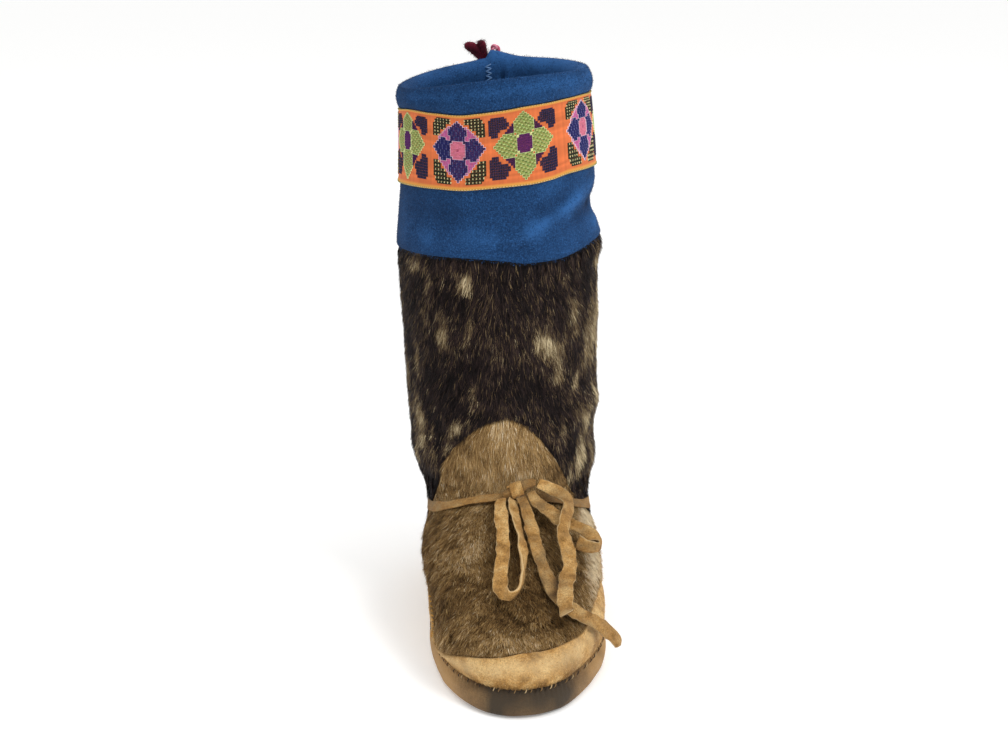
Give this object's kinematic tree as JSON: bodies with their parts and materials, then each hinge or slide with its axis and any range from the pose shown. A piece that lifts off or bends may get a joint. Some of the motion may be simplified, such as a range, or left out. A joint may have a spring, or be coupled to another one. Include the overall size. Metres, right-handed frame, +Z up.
{
  "type": "mukluk boot",
  "caption": "Mid-calf fur boot with a turned-up hide sole, a pointed fur vamp, a felt cuff with a woven band and a hide tie round the ankle.",
  "frame": {"origin": "on the floor, on the sole's flat underside below the instep", "axes": "+Z up, toe towards -Y, the wearer's left (the boot's outer side) at +X"},
  "size_m": [0.1324, 0.276, 0.3611],
  "materials": {
    "sole_hide": "worn matte",
    "insole_felt": "matte",
    "smoked_hide": "matte suede",
    "tan_fur": "short sleek fur",
    "dark_fur": "short sleek fur",
    "blue_felt": "matte felt",
    "woven_band": "woven and embroidered",
    "dark_red_yarn": "twisted wool",
    "pink_yarn": "twisted wool"
  },
  "bodies": {
    "root": {"outsole": "sole_hide", "insole": "insole_felt", "rand": "smoked_hide", "vamp": "tan_fur", "shaft": "dark_fur", "cuff": "blue_felt", "woven_band": "woven_band", "ankle_tie": "smoked_hide", "bow_knot": "smoked_hide", "front_loop": "smoked_hide", "side_loop": "smoked_hide", "long_end": "smoked_hide", "short_end": "smoked_hide", "collar_tassel": "dark_red_yarn", "collar_loop": "pink_yarn"}
  },
  "joints": []
}
